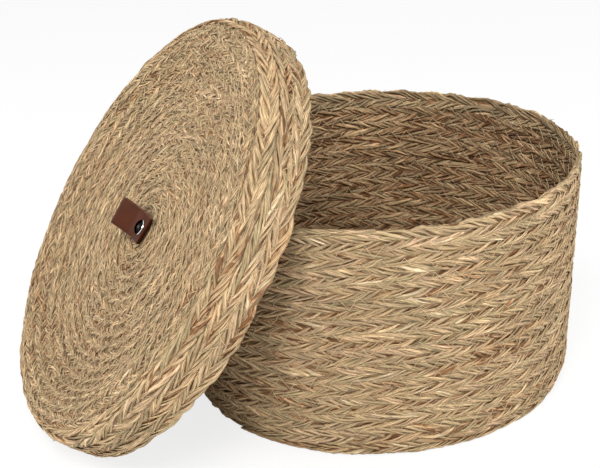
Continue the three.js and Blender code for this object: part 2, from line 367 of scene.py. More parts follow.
def tube_mesh(name, points, tubes, rings, sides):
    """A smooth mesh of closed tubes from their points, with its map."""
    walls, ends = tube_faces(tubes, rings, sides)
    corners = np.concatenate([walls.ravel(), ends.ravel()])
    counts = np.concatenate([np.full(len(walls), 4), np.full(len(ends), sides)])
    mesh = bpy.data.meshes.new(name)
    mesh.vertices.add(len(points))
    mesh.vertices.foreach_set("co", points.astype(np.float32).ravel())
    mesh.loops.add(len(corners))
    mesh.loops.foreach_set("vertex_index", corners.astype(np.int32))
    mesh.polygons.add(len(counts))
    mesh.polygons.foreach_set("loop_start", (np.cumsum(counts) - counts).astype(np.int32))
    mesh.polygons.foreach_set("use_smooth", np.ones(len(counts), dtype=bool))
    mesh.update(calc_edges=True)
    places = mesh.uv_layers.new(name=MAP_NAME)
    places.uv.foreach_set("vector", tube_map(tubes, rings, sides).astype(np.float32).ravel())
    print(f"{name}: {tubes} tubes, {2 * len(walls) + (sides - 2) * len(ends)} triangles")
    return mesh


# %% Turn tubes into a piece


def tube_piece(name, centre, side, up, wide, thick, ring, marks, finish, slot, body=None, nodes=()):
    """Closed tubes as one piece, which rides on a body and stands for the solids called nodes. Each point
    (a, b) of the ring becomes centre + side * wide * a + up * thick * b, and is pressed up to the floor if
    it falls below. A finish can read a as the mark called across."""
    tubes, rings = centre.shape[:2]
    along = np.gradient(centre, axis=1)
    hand = np.sum(np.cross(side, up) * along)
    ring = ring if hand > 0 else ring[::-1]
    across = (side * np.expand_dims(wide, -1))[..., None, :] * ring[:, :1]
    through = (up * np.expand_dims(thick, -1))[..., None, :] * ring[:, 1:]
    points = (centre[..., None, :] + across + through).reshape(-1, 3)
    points[:, 2] = np.maximum(points[:, 2], 0.0)
    mesh = tube_mesh(name, points, tubes, rings, len(ring))
    marks = {key: np.expand_dims(values, -1) for key, values in marks.items()} | {"across": ring[:, 0]}
    for key, values in marks.items():
        spread = np.broadcast_to(values, (tubes, rings, len(ring)))
        column = mesh.attributes.new(key, "FLOAT", "POINT").data
        column.foreach_set("value", spread.astype(np.float32).ravel())
    mesh.materials.append(finish)
    piece = bpy.data.objects.new(name, mesh)
    bpy.context.scene.collection.objects.link(piece)
    if body:
        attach(piece, body)
    for node in nodes:
        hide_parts(node)
    return piece


print("a square ring:", round_ring(4).round(2).tolist())

# %% [markdown]
# ## Chance that stays the same
# No two blades are alike, but a lesson should give the same basket each time, so each piece has its own
# seeded generator. Slow drifts come from a few sine waves of random phase, which are smooth and cheap.

# %% Make smooth chance
WAVE_RATIOS = np.array([0.61, 1.0, 1.73])
WAVE_SPREAD = (0.8, 1.25)


def wander(rng, rows, along, size, length):
    """Smooth drifts, one per row: size times the mean of three sine waves of about this length."""
    lengths = length * WAVE_RATIOS[:, None] * rng.uniform(*WAVE_SPREAD, (rows, 3, 1))
    phase = rng.uniform(0, 2 * np.pi, (rows, 3, 1))
    return size * np.sin(2 * np.pi * along / lengths + phase).mean(axis=1)


def run_length(places):
    """Distance along a row of places, from the first one."""
    steps = np.linalg.norm(np.diff(places, axis=0), axis=1)
    return np.concatenate([[0.0], np.cumsum(steps)])


print("a sample drift:", wander(np.random.default_rng(1), 1, np.linspace(0, 0.1, 3), 1.0, 0.1).round(2))

# %% [markdown]
# ## The paths that the plait follows
# One flat plait is wound round and round. In a wall it lies level for most of each turn and then climbs to
# the next course, where the lid hides it, so rim and foot come out level. In the lid's top it spirals out
# from the eye. The lid's section is a skirt that turns over a round shoulder into a shallow dish. So we
# draw each section once as a line and lay the plait along it.

# %% Draw the sections
FOOT_ROUND = 16.0 * MM
FLARE = 10.0 / 190.4
SHOULDER_START = 22.6 * MM
SHOULDER_ROUND = 19.0 * MM
TOP_DISH = 15.2 * MM
DISH_RUN = 45.0 * MM

CREST_RADIUS = SKIRT_RADIUS - SHOULDER_ROUND
CREST_HEIGHT = SHOULDER_START + SHOULDER_ROUND
LEVEL_RADIUS = CREST_RADIUS - DISH_RUN
DISH_SLOPE = 2 * np.arctan(TOP_DISH / DISH_RUN)
DISH_ROUND = DISH_RUN / np.sin(DISH_SLOPE) - SHOULDER_ROUND
DISH_LENGTH = DISH_ROUND * DISH_SLOPE
SKIRT_TURN = (SKIRT_COURSES * COURSE - SHOULDER_START) / SHOULDER_ROUND
TOP_LENGTH = LEVEL_RADIUS + DISH_LENGTH + SHOULDER_ROUND * (DISH_SLOPE + np.pi / 2 - SKIRT_TURN)
BASE_MIDDLE = base_high[2] / 2


def basket_line(along):
    """Radius and height of the basket's wall: a straight flare, drawn in by a quarter round at the foot."""
    rise = np.clip(FOOT_ROUND - np.maximum(along, COURSE / 2), 0, FOOT_ROUND)
    drawn_in = FOOT_ROUND - np.sqrt(FOOT_ROUND**2 - rise**2)
    return RIM_CORNER_RADIUS - FLARE * (RIM_CORNER - along) - drawn_in, along


def skirt_line(along):
    """Radius and height of the lid's skirt from its open edge: upright, then an arc round the shoulder."""
    turn = np.maximum(along - SHOULDER_START, 0) / SHOULDER_ROUND
    radius = CREST_RADIUS + SHOULDER_ROUND * np.cos(turn)
    return radius, np.minimum(along, SHOULDER_START) + SHOULDER_ROUND * np.sin(turn)


def top_line(along):
    """Radius and height of the lid's top from its axis: level, an arc up the dish, one over the shoulder."""
    dish = np.clip(along - LEVEL_RADIUS, 0, DISH_LENGTH) / DISH_ROUND
    over = np.maximum(along - LEVEL_RADIUS - DISH_LENGTH, 0) / SHOULDER_ROUND - DISH_SLOPE
    radius = np.minimum(along, LEVEL_RADIUS) + DISH_ROUND * np.sin(dish)
    radius = radius + SHOULDER_ROUND * (np.sin(over) + np.sin(DISH_SLOPE))
    height = CREST_HEIGHT - TOP_DISH + DISH_ROUND * (1 - np.cos(dish))
    return radius, height + SHOULDER_ROUND * (np.cos(over) - np.cos(DISH_SLOPE))


def base_line(along):
    """Radius and height of the basket's base from its axis: level, halfway up the base."""
    return along, np.full_like(along, BASE_MIDDLE)


print(f"the lid's crest is {CREST_HEIGHT:.4f} m above its open edge, its top line {TOP_LENGTH:.4f} m long")

# %% [markdown]
# ## Winding
# A path tells four things at each place: the plait's middle, the direction across it along the section,
# the direction out of its face, and how much of its width is left where it thins at its ends. With
# those, the same plaiting code dresses the wall, the skirt, the lid's top and the base.

# %% Work out the wound paths
CLIMB_SHARE = 4 / 24
WALL_START = 17 / 24
NUDGE = 1.0 * MM
ROUGH_STEPS = 4000


def laid_on(line, along, heading, face):
    """Places on a wound face: the line's radius and height, turned to the heading, with the direction along
    the line and the one out of the face, to the line's right for 1 and to its left for -1."""
    radial = np.stack([np.cos(heading), np.sin(heading), np.zeros_like(heading)], axis=-1)
    radius, height = line(along)
    ahead = np.stack(line(along + NUDGE), axis=-1)
    behind = np.stack(line(along - NUDGE), axis=-1)
    run, rise = np.split(unit(ahead - behind), 2, axis=-1)
    middle = radial * radius[:, None] + UP * height[:, None]
    return middle, radial * run + UP * rise, face * (radial * rise - UP * run)


def wound_wall(turn, courses, line):
    """A plait wound into level courses: it climbs one course along half a cosine wave in the last part of
    each turn, and thins to nothing in its first and last climb."""
    whole = np.floor(turn)
    rise = np.clip((turn - whole - 1 + CLIMB_SHARE) / CLIMB_SHARE, 0, 1)
    climbed = whole + 1 + (1 - np.cos(np.pi * rise)) / 2
    low = np.maximum(climbed - 1, 0) * COURSE
    high = np.minimum(climbed, courses) * COURSE
    heading = 2 * np.pi * (turn + WALL_START)
    return *laid_on(line, (low + high) / 2, heading, 1.0), (high - low) / COURSE


def wound_spiral(turn, loops, line, start, eye, pitch):
    """A plait wound outwards from an eye: it gains one row each turn, and thins to nothing in its first and
    last turn."""
    inner = eye + pitch * np.maximum(turn - 1, 0)
    outer = eye + pitch * np.minimum(turn, loops)
    heading = 2 * np.pi * (turn + start)
    return *laid_on(line, (inner + outer) / 2, heading, -1.0), (outer - inner) / pitch


def leaned(middle, across, outward, share):
    """A path in the lid's own axes, brought to the leaning lid in the room."""
    return on_lid(middle), across @ LID_AXES, outward @ LID_AXES, share


def evenly(path, first, last, spacing):
    """Turns between two ends, spread so that their places on the path are about one spacing apart."""
    rough = np.linspace(first, last, ROUGH_STEPS)
    along = run_length(path(rough)[0])
    return np.interp(np.linspace(0, along[-1], int(along[-1] / spacing) + 1), along, rough)


# %% Name the four paths
TOP_LOOPS = 18
TOP_START = 6 / 24
EYE_RADIUS = 1.5 * MM
TOP_PITCH = (TOP_LENGTH - EYE_RADIUS) / TOP_LOOPS
TOP_LAY = np.radians(5)
BASE_RADIUS = base_high[0]
BASE_LOOPS = 11
BASE_PITCH = BASE_RADIUS / BASE_LOOPS


def wall_path(turn):
    """The basket's wall, as wound_wall says."""
    return wound_wall(turn, WALL_COURSES, basket_line)


def skirt_path(turn):
    """The lid's skirt: wound_wall in the lid's own axes, then leaned."""
    return leaned(*wound_wall(turn, SKIRT_COURSES, skirt_line))


def top_path(turn):
    """The lid's top: a leaned spiral, each row rolled so that its outer edge lies lower."""
    middle, across, outward, share = wound_spiral(turn, TOP_LOOPS, top_line, TOP_START, EYE_RADIUS, TOP_PITCH)
    return leaned(middle, *rolled(across, outward, TOP_LAY), share)


def base_path(turn):
    """The basket's base: a flat spiral."""
    return wound_spiral(turn, BASE_LOOPS, base_line, 0.0, 0.0, BASE_PITCH)


print("rows in the lid's top and in the base:", TOP_LOOPS, BASE_LOOPS)

# %% [markdown]
# ## Seagrass
# Dried seagrass runs from straw to grey-green, with pink, orange and brown blades among them. One colour
# with noise would look like cardboard. Instead each leaf carries two numbers: one picks a place on a
# ramp of grass colours, the other makes it lighter or darker. A dried blade also curls in, so it shows
# as ribs with grooves between them. The grooves are painted darker and browner as shade and the ribs
# painted lighter, and fine streaks run along it on its own strip of the map.

# %% Paint the seagrass
GRASS_COLOURS = [
    (0.00, paint(132, 95, 64)),
    (0.015, paint(168, 127, 90)),
    (0.04, paint(193, 158, 119)),
    (0.12, paint(192, 164, 124)),
    (0.45, paint(188, 163, 126)),
    (0.60, paint(174, 157, 119)),
    (0.70, paint(190, 164, 127)),
    (0.85, paint(203, 172, 138)),
    (0.95, paint(208, 182, 138)),
    (1.00, paint(222, 200, 164)),
]
# Painted shade: the brown that the grooves between the ribs are mixed toward.
GROOVE_PAINTED_SHADE = paint(156, 112, 74)
STREAK_GRID = (70.0, 640.0, 1.0)
DRIFT_GRID = (45.0, 110.0, 1.0)
RIB_WAVE = 1.5 * np.pi
RIB_SLIP = 0.8
HUE_DRIFT = 0.3
STREAK_HEIGHT = 0.5


def grass_finish(name, gain, streaks):
    """Seagrass: ramp colour by the blade's hue and a drift along it, made lighter by its shade, by the
    streaks and by the ribs, whose height is the size of sin(1.5 pi a) for a place a across the blade. This
    is painted light on the ribs and painted shade in the grooves, which are also browner and more saturated."""
    material, start, shader = new_finish(name, Specular_IOR_Level=0.2)
    place = start.node("ShaderNodeUVMap", {"uv_map": MAP_NAME})
    times = {"operation": "MULTIPLY"}
    streak = noise(start.node("ShaderNodeVectorMath", times, {0: place, 1: STREAK_GRID}), 1.0, 4.0, "2D")
    drift = noise(start.node("ShaderNodeVectorMath", times, {0: place, 1: DRIFT_GRID}), 1.0, 2.0, "2D")
    wave = start.math("SINE", RIB_WAVE * (mark(start, "across") + RIB_SLIP * (drift - 0.5)))
    rib = start.math("ABSOLUTE", wave)
    hue = mark(start, "hue") + HUE_DRIFT * (drift - 0.5)
    colour = start.node("ShaderNodeValToRGB", None, {"Fac": hue})
    set_stops(colour.socket.node.color_ramp, GRASS_COLOURS)
    level = mark(start, "shade") * (1.0 + streaks * (streak - 0.5))
    # Painted light and shade: ribs lightened up to 1.23 times, grooves darkened to 0.6, browned and
    # saturated.
    level = level * rib.from_to(0.6, 1.23) * gain
    groove_shaded_colour = rib.from_to(0.72, 1.0).between(GROOVE_PAINTED_SHADE, colour)
    lit = {"Value": level, "Saturation": rib.from_to(1.12, 0.96), "Color": groove_shaded_colour}
    start.node("ShaderNodeHueSaturation", None, lit).to(shader, "Base Color")
    streak.from_to(0.95, 0.65).to(shader, "Roughness")
    bump(STREAK_HEIGHT * streak + rib, strength=0.7, distance=0.35 * MM).to(shader, "Normal")
    return material


basket_grass = grass_finish("basket_seagrass", gain=0.965, streaks=2.0)
lid_grass = grass_finish("lid_seagrass", gain=0.96, streaks=3.5)
# Painted light: the skirt's copy of the seagrass is about 7 percent lighter, for the light falling on the
# skirt.
skirt_grass_painted_light = grass_finish("skirt_seagrass_painted_light", gain=1.03, streaks=1.8)
print("seagrass mixed from", len(GRASS_COLOURS), "colours")

# %% [markdown]
# ## Leaves
# A maker plaits with single leaves and lays in a new one every hand's breadth, so a blade changes colour
# with each half swing. Random colours alone would look like confetti: some leaves take after their
# strand, and whole bundles are browner or paler. The inner layer of blades is painted browner and darker,
# as painted shade for the basket's inside, and a few leaves are broken off short.

# %% Sort the leaves
STRANDS = 3
OUTER_BLADES = np.array([[-0.78, 0.38], [-0.26, 0.50], [0.27, 0.52], [0.77, 0.40]])
BLADES_IN_STRAND = np.concatenate([OUTER_BLADES, -OUTER_BLADES])
BLADES = STRANDS * len(BLADES_IN_STRAND)
BLADE_ORDER = np.arange(BLADES)[:, None]
STRAND_OF_BLADE = np.repeat(np.arange(STRANDS), len(BLADES_IN_STRAND))
LAYER_OF_BLADE = np.tile(BLADES_IN_STRAND[:, 1], STRANDS)[:, None]
FOLLOWERS = 0.55
BUNDLE_SEED_STEP = 100
BUNDLE_LEAVES = 8.0
BUNDLE_SPREAD = 2.2
BUNDLE_SHADE = 0.06
LEAF_SHADES = (0.81, 1.13)
STRAND_SHADES = (0.9, 1.08)
# Painted shade for the inner layer, which faces the shaded inside: a browner hue and a darker, squared shade.
INNER_HUE_PAINTED_SHADE = 0.1
INNER_PAINTED_SHADE = 0.82
INNER_SPREAD_PAINTED_SHADE = 2.0
BROKEN_LEAVES = 0.2
BREAK_DEPTH = 0.9
BREAK_REACH = 0.09


def leaf_tones(rng, seed, leaves):
    """Hue and shade of each leaf of each blade. In a bundle the hue is raised to a power that drifts from
    1/2.2 to 2.2. Inner leaves keep a tenth of their hue, and their shade is squared, times 0.82: painted
    shade, browner and darker, for the shaded inside."""
    size = (BLADES, leaves)
    strand_hue = rng.random((STRANDS, leaves))[STRAND_OF_BLADE]
    hue = rng.random(size)
    hue = np.where(rng.random(size) < FOLLOWERS, strand_hue, hue)
    bundle = wander(np.random.default_rng(seed + BUNDLE_SEED_STEP), 1, np.arange(leaves), 1.0, BUNDLE_LEAVES)
    hue = hue ** (BUNDLE_SPREAD**bundle)
    shade = rng.uniform(*LEAF_SHADES, size)
    strand_shade = rng.uniform(*STRAND_SHADES, (STRANDS, leaves))[STRAND_OF_BLADE]
    shade = shade * strand_shade * (1 - BUNDLE_SHADE * bundle)
    # Painted shade: the inner blades are made browner and darker.
    inner = LAYER_OF_BLADE < 0
    return np.where(inner, INNER_HUE_PAINTED_SHADE * hue, hue), np.where(inner, INNER_PAINTED_SHADE * shade**INNER_SPREAD_PAINTED_SHADE, shade)


def leaf_fullness(rng, swings, leaf, leaves):
    """How full a blade is: 1, but 1 - 0.9 exp(-(g / 0.09)^2) at g half swings from a broken leaf's end."""
    gap = np.abs(swings - np.rint(swings))
    broken = rng.random((BLADES, leaves)) < BROKEN_LEAVES
    return 1 - BREAK_DEPTH * broken[BLADE_ORDER, leaf] * np.exp(-((gap / BREAK_REACH) ** 2))


print("blades in one plait:", BLADES)

# %% [markdown]
# ## Plaiting
# Three strands cross in turn, and each is a bundle of flat blades. A ready-made braid texture would look
# flat at the rim, where the plait's edge shows, so every blade is real. It runs straight from one edge of
# the plait to the other and folds back there, and its neighbours follow a little later. It rises and sinks
# twice as fast, over one strand and under the next. At an open edge no next row holds the folds, so they
# bulge out. Each drift is a pair: its size, and its length in metres or in periods of the plait.

# %% Plait the strands
BLADE_RING = round_ring(4)
FLOOR_REST = 1.2 * MM
SEWN_BULGE = 0.06
EDGE_BULGE = 0.24
FOLD_POWER = 5
FOLD_CORNER = 0.96
FOLD_PARTING = 0.4
FOLD_ROLL = 0.22
ROW_STRAY = (0.6 * MM, 160 * MM)
ROW_BOW = (0.5 * MM, 110 * MM)
ROW_LAG = (0.8, 5.0)
STRAND_LAG = (0.7, 1.6)
BLADE_LAG = (0.7, 1.1)
BLADE_STRAY = (0.7 * MM, 50 * MM)
BLADE_BOW = (0.3 * MM, 40 * MM)
BLADE_ROLL = (0.5, 90 * MM)
WIDTHS = (0.75, 1.3)
WIDTH_DRIFT = (0.35, 70 * MM)
END_WIDTH = 0.4
BLADE_THICKNESS = 0.19
THICKNESS_DRIFT = (0.2, 60 * MM)


def zigzag(phase):
    """A triangle wave with rounded corners: arcsin(0.96 sin(phase)), scaled to reach from -1 to 1."""
    return np.arcsin(FOLD_CORNER * np.sin(phase)) / np.arcsin(FOLD_CORNER)


def plait(path, turn, seed, period, reach, lift, strand_thick, blade_wide, bulge=SEWN_BULGE):
    """Blades of a three-strand plait. With p = 2 pi (length / period) + 2 pi k / 3 + pi b / 3 for the blade
    at b, from -1 to 1, of strand k, the blade lies reach * zigzag(p) across the path and lift * sin(2 p) out
    of it, apart from slow drifts. Where strand k folds, all its blades bulge by bulge * sin(p)^5 at b = 0,
    and its layers part by 0.4 zigzag(p)^2 more. Each half swing is one leaf."""
    rng = np.random.default_rng(seed)
    middle, across, outward, share = path(turn)
    along = run_length(middle)
    beats = along / period
    middle = middle + across * wander(rng, 1, along, *ROW_STRAY).T
    middle = middle + outward * wander(rng, 1, along, *ROW_BOW).T
    phase = 2 * np.pi * beats + wander(rng, 1, beats, *ROW_LAG)
    phase = phase + 2 * np.pi / STRANDS * np.arange(STRANDS)[:, None]
    phase = phase + wander(rng, STRANDS, beats, *STRAND_LAG)
    folds = (bulge * np.sin(phase) ** FOLD_POWER)[STRAND_OF_BLADE]
    phase = phase[:, None] + np.pi / STRANDS * BLADES_IN_STRAND[:, :1]
    phase = phase.reshape(BLADES, -1) + wander(rng, BLADES, beats, *BLADE_LAG)
    sway = zigzag(phase)
    sideways = reach * (sway + folds) * share + wander(rng, BLADES, along, *BLADE_STRAY)
    layer = strand_thick / 2 * LAYER_OF_BLADE * (1 + FOLD_PARTING * sway**2)
    out = lift * np.sin(2 * phase) + layer + wander(rng, BLADES, along, *BLADE_BOW)
    roll = FOLD_ROLL * sway + wander(rng, BLADES, along, *BLADE_ROLL)
    centre = middle + across * sideways[..., None] + outward * out[..., None]
    centre[..., 2] = np.maximum(centre[..., 2], FLOOR_REST)
    side, up = rolled(across, outward, roll[..., None])
    swings = phase / np.pi
    leaf = np.floor(swings).astype(int)
    leaf = leaf - leaf.min()
    leaves = leaf.max() + 2
    hue, shade = leaf_tones(rng, seed, leaves)
    full = leaf_fullness(rng, swings, leaf, leaves)
    wide = blade_wide / 2 * rng.uniform(*WIDTHS, (BLADES, 1)) * (1 + wander(rng, BLADES, along, *WIDTH_DRIFT))
    wide = wide * full * (END_WIDTH + (1 - END_WIDTH) * share)
    thick = strand_thick * BLADE_THICKNESS * (1 + wander(rng, BLADES, along, *THICKNESS_DRIFT))
    thick = thick * (1 + full) / 2
    form = {"centre": centre, "side": side, "up": up, "wide": wide, "thick": thick}
    return form | {"hue": hue[BLADE_ORDER, leaf], "shade": shade[BLADE_ORDER, leaf]}


def plaited_pieces(name, blades, cuts, work):
    """Cuts the blades of a coil into pieces of even length, each closed at its ends."""
    rings = blades["centre"].shape[1]
    edges = np.linspace(0, rings - 1, cuts + 1).astype(int)
    for number, (first, last) in enumerate(zip(edges[:-1], edges[1:]), start=1):
        part = {key: values[:, first : last + 1] for key, values in blades.items()}
        marks = {key: part.pop(key) for key in ("hue", "shade")}
        tube_piece(f"{name}_{number}", **part, ring=BLADE_RING, marks=marks, **work)


def work_on(finish, body, *nodes):
    """What the woven pieces of one coil share: finish, slot, body, and the solids that they stand for."""
    return {"finish": finish, "slot": "seagrass", "body": body, "nodes": nodes}


print("the zigzag at the eighths of a turn:", zigzag(np.linspace(0, 2 * np.pi, 9)).round(2))

# %% [markdown]
# ## Filling and seams
# Held against the light, a real basket lets none through: short ends fill the plait, and blades slip into
# the seams. Thousands of ends would hardly show. One flat tube inside each row does the same, painted a
# darker brown as the shade seen in the gaps, and four wandering blades along each seam hide its straight
# line.

# %% Fill the rows and the seams
CORE_RING = round_ring(8)
CORE_STEP = 8.0 * MM
CORE_THICKNESS = 0.8 * MM
# Painted shade: the filling is coloured a darker brown so that the gaps between the leaves look shaded.
CORE_PAINTED_SHADE_TONES = {"hue": 0.02, "shade": 0.78}
SEAM_DEPTHS = np.array([[1.1], [0.5], [-0.5], [-1.1]]) * MM
SEAM_BLADES = len(SEAM_DEPTHS)
SEAM_STEP = 6.0 * MM
SEAM_STRAY_LENGTH = 45 * MM
SEAM_BOW = (0.5 * MM, 50 * MM)
SEAM_ROLL = (0.5, 80 * MM)
SEAM_WIDTH_DRIFT = (0.4, 60 * MM)
SEAM_FLATNESS = 0.45
SEAM_LEAF = 40 * MM
SEAM_SHADES = (0.7, 1.05)


def core_piece(name, path, first, last, wide, work):
    """The filling of a row: one flat tube inside the plait, which closes the gaps between the leaves. It
    is painted a darker brown, as painted shade in those gaps.
    """
    middle, across, outward, share = (part[None] for part in path(evenly(path, first, last, CORE_STEP)))
    half = wide / 2 * share
    tube_piece(name, middle, across, outward, half, CORE_THICKNESS / 2, CORE_RING, CORE_PAINTED_SHADE_TONES, **work)


def seam(path, turn):
    """The line halfway between a row and the next one, one turn later: its places, the direction from row to
    row, and the direction out of the face."""
    here, there = path(turn), path(turn + 1)
    return (here[0] + there[0]) / 2, unit(there[0] - here[0]), unit(here[2] + there[2])


def seam_blades(name, path, first, last, seed, stray, blade_wide, work):
    """Blades that slipped into the seam: they run along it, two near each face, and stray sideways."""
    rng = np.random.default_rng(seed)
    middle, across, outward = seam(path, evenly(path, first, last - 1, SEAM_STEP))
    along = run_length(middle)
    sideways = wander(rng, SEAM_BLADES, along, stray, SEAM_STRAY_LENGTH)
    depth = SEAM_DEPTHS + wander(rng, SEAM_BLADES, along, *SEAM_BOW)
    side, up = rolled(across, outward, wander(rng, SEAM_BLADES, along, *SEAM_ROLL)[..., None])
    wide = blade_wide / 2 * (1 + wander(rng, SEAM_BLADES, along, *SEAM_WIDTH_DRIFT))
    leaf = (along / SEAM_LEAF).astype(int)
    size = (SEAM_BLADES, leaf.max() + 1)
    marks = {"hue": rng.random(size)[:, leaf], "shade": rng.uniform(*SEAM_SHADES, size)[:, leaf]}
    centre = middle + across * sideways[..., None] + outward * depth[..., None]
    tube_piece(name, centre, side, up, wide, SEAM_FLATNESS * wide, BLADE_RING, marks, **work)


print("each seam holds", SEAM_BLADES, "blades")

# %% [markdown]
# ## Basket wall
# The wall is one plait, wound in level courses. Stacked rings would be easier, but each ring has a start
# and an end, and the real plait has only two ends. The leaves of the top course are drawn paler and a
# little lighter. The coil is cut into four pieces only because one mesh would be too heavy.

# %% Wind the wall
WALL_PLAIT = {"period": 80.0 * MM, "reach": 6.1 * MM, "lift": -1.15 * MM}
WALL_PLAIT |= {"strand_thick": 2.8 * MM, "blade_wide": 2.6 * MM}
WALL_RINGS = 17
FIRST_TURN = -CLIMB_SHARE + 0.02
WALL_ENDS = (FIRST_TURN, WALL_COURSES - 0.02)
RIM_HUE = 0.4
RIM_SHADE = 1.05
SEWN_CORE = 13.2 * MM
SEWN_STRAY = {"stray": 2.4 * MM, "blade_wide": 2.6 * MM}
wall_work = work_on(basket_grass, "basket", "basket_wall_coil")

wall_turns = evenly(wall_path, *WALL_ENDS, WALL_PLAIT["period"] / WALL_RINGS)
rim = wall_turns > WALL_COURSES - 1
wall_bulge = np.where(rim, EDGE_BULGE, SEWN_BULGE)
wall_blades = plait(wall_path, wall_turns, seed=11, **WALL_PLAIT, bulge=wall_bulge)
wall_blades["hue"][:, rim] = RIM_HUE + (1 - RIM_HUE) * wall_blades["hue"][:, rim]
wall_blades["shade"][:, rim] *= RIM_SHADE
plaited_pieces("wall_plait", wall_blades, cuts=4, work=wall_work)
core_piece("wall_core", wall_path, *WALL_ENDS, SEWN_CORE, wall_work)
wall_seam = (wall_path, 0.0, WALL_COURSES - CLIMB_SHARE)
seam_blades("wall_seam_blades", *wall_seam, seed=71, **SEWN_STRAY, work=wall_work)

# %% [markdown]
# ## Lid skirt
# The skirt is plaited like the wall, with longer leaves. Its first course is the open edge, where its
# folds bulge. At the shoulder, skirt and top are sewn edge to edge, and that join gets its own filling
# and seam blades.

# %% Wind the skirt and close its shoulder
SKIRT_PLAIT = WALL_PLAIT | {"period": 92.0 * MM, "reach": 6.0 * MM, "lift": 1.2 * MM}
SKIRT_RINGS = 24
SKIRT_ENDS = (FIRST_TURN, SKIRT_COURSES - 0.02)
SHOULDER_CORE = 9.0 * MM
FULL_TURN = 0.999
skirt_work = work_on(skirt_grass_painted_light, "lid", "lid_skirt_coil")


def shoulder_path(turn):
    """The rows beside the join of skirt and top: half a row below it, and in the next turn half above."""
    along = (SKIRT_COURSES - 0.5 + np.floor(turn)) * COURSE
    return leaned(*laid_on(skirt_line, along, 2 * np.pi * turn, 1.0), np.ones_like(turn))


def join_path(turn):
    """The join itself, halfway between those two rows."""
    return *seam(shoulder_path, turn), np.ones_like(turn)


skirt_turns = evenly(skirt_path, *SKIRT_ENDS, SKIRT_PLAIT["period"] / SKIRT_RINGS)
skirt_bulge = np.where(skirt_turns < 1, EDGE_BULGE, SEWN_BULGE)
skirt_blades = plait(skirt_path, skirt_turns, seed=23, **SKIRT_PLAIT, bulge=skirt_bulge)
plaited_pieces("skirt_plait", skirt_blades, cuts=1, work=skirt_work)
core_piece("skirt_core", skirt_path, *SKIRT_ENDS, SEWN_CORE, skirt_work)
skirt_seam = (skirt_path, 0.0, SKIRT_COURSES - CLIMB_SHARE)
seam_blades("skirt_seam_blades", *skirt_seam, seed=72, **SEWN_STRAY, work=skirt_work)
core_piece("shoulder_core", join_path, 0.0, FULL_TURN, SHOULDER_CORE, skirt_work)
shoulder_seam = (shoulder_path, 0.0, 1 + FULL_TURN)
seam_blades("shoulder_seam_blades", *shoulder_seam, seed=74, **SEWN_STRAY, work=skirt_work)

# %% [markdown]
# ## Lid top
# The lid's top is wound from a narrower plait, tipped so that each row tucks under its neighbour, which
# makes its strokes look shorter and finer. It starts a little way into the first turn, because a plait
# can't be bent to a point.

# %% Wind the lid's top
TOP_PLAIT = {"period": 44.0 * MM, "reach": 4.7 * MM, "lift": 0.8 * MM}
TOP_PLAIT |= {"strand_thick": 2.4 * MM, "blade_wide": 1.85 * MM}
SPIRAL_RINGS = 12
TOP_PLAIT_TURNS = (0.3, TOP_LOOPS + 0.75)
TOP_CORE_TURNS = (0.4, TOP_LOOPS + 0.7)
TOP_SEAM_TURNS = (0.6, TOP_LOOPS + 0.9)
TOP_CORE = 10.0 * MM
TOP_STRAY = {"stray": 1.8 * MM, "blade_wide": 2.2 * MM}
top_work = work_on(lid_grass, "lid", "lid_top_coil")

top_turns = evenly(top_path, *TOP_PLAIT_TURNS, TOP_PLAIT["period"] / SPIRAL_RINGS)
top_blades = plait(top_path, top_turns, seed=37, **TOP_PLAIT)
plaited_pieces("lid_top_plait", top_blades, cuts=3, work=top_work)
core_piece("lid_top_core", top_path, *TOP_CORE_TURNS, TOP_CORE, top_work)
seam_blades("lid_top_seam_blades", top_path, *TOP_SEAM_TURNS, seed=73, **TOP_STRAY, work=top_work)

# %% [markdown]
# ## Basket base
# The base is the plait laid flat in a spiral. It is hardly seen, so its rings are further apart. A disc
# inside it, a very short tube along the basket's axis painted a darker brown as shade, closes the spiral's
# eye. Its edge sits in the wall's lowest course, so no light comes through that corner.

# %% Wind the base
BASE_PLAIT_TURNS = (0.3, BASE_LOOPS + 0.97)
DISC_RADII = np.array([[0.001, 1.0, 1.0, 0.001]]) * (BASE_RADIUS + PLAIT_THICKNESS / 2)
DISC_HEIGHTS = BASE_MIDDLE + np.array([-0.5, -0.499, 0.499, 0.5]) * MM
base_work = work_on(basket_grass, "basket", "basket_base")

base_turns = evenly(base_path, *BASE_PLAIT_TURNS, WALL_PLAIT["period"] / SPIRAL_RINGS)
base_blades = plait(base_path, base_turns, seed=41, **WALL_PLAIT)
plaited_pieces("base_plait", base_blades, cuts=1, work=base_work)
# The disc carries the filling's painted shade tones.
centre = (UP * DISC_HEIGHTS[:, None])[None]
side, up = np.eye(3)[:2]
tube_piece("base_core", centre, side, up, DISC_RADII, DISC_RADII, round_ring(96), CORE_PAINTED_SHADE_TONES, **base_work)

# %% [markdown]
# ## Sewing thread
# The rows are sewn edge to edge with a zigzag of thin straw thread, outside and inside. A line drawn on the
# surface would never catch the light, and at the seams the thread really bridges the dip between two rows.
# So it is one long thin tube per face, with rings on the zigzag's corners and halfway between them.

# %% Sew the rows together
THREAD_RADIUS = 0.26 * MM
STRAW_TONES = (paint(176, 146, 104), paint(226, 204, 168))
STITCH_BEATS = np.array([-1.0, 0.0, 1.0, 0.0])
STITCH_SWAYS = (0.75, 1.2)
STITCH_RISES = (0.9, 1.08)
STITCH_SLIPS = (-0.09, 0.09)
BRIDGE_RISE = 0.86
WALL_STITCH = {"stitch": 15.0 * MM, "reach": 5.2 * MM, "rise": 2.6 * MM}
TOP_STITCH = {"stitch": 11.0 * MM, "reach": 3.6 * MM, "rise": 2.2 * MM}
FACES = {"outside": 1.0, "inside": -1.0}
SEAMS = [
    ("wall", "basket", WALL_STITCH, wall_path, 0.0, WALL_COURSES - 1 - CLIMB_SHARE),
    ("skirt", "lid", WALL_STITCH, skirt_path, 0.0, SKIRT_COURSES - 1 - CLIMB_SHARE),
    ("lid_top", "lid", TOP_STITCH, top_path, 1.0, TOP_LOOPS - 0.2),
]


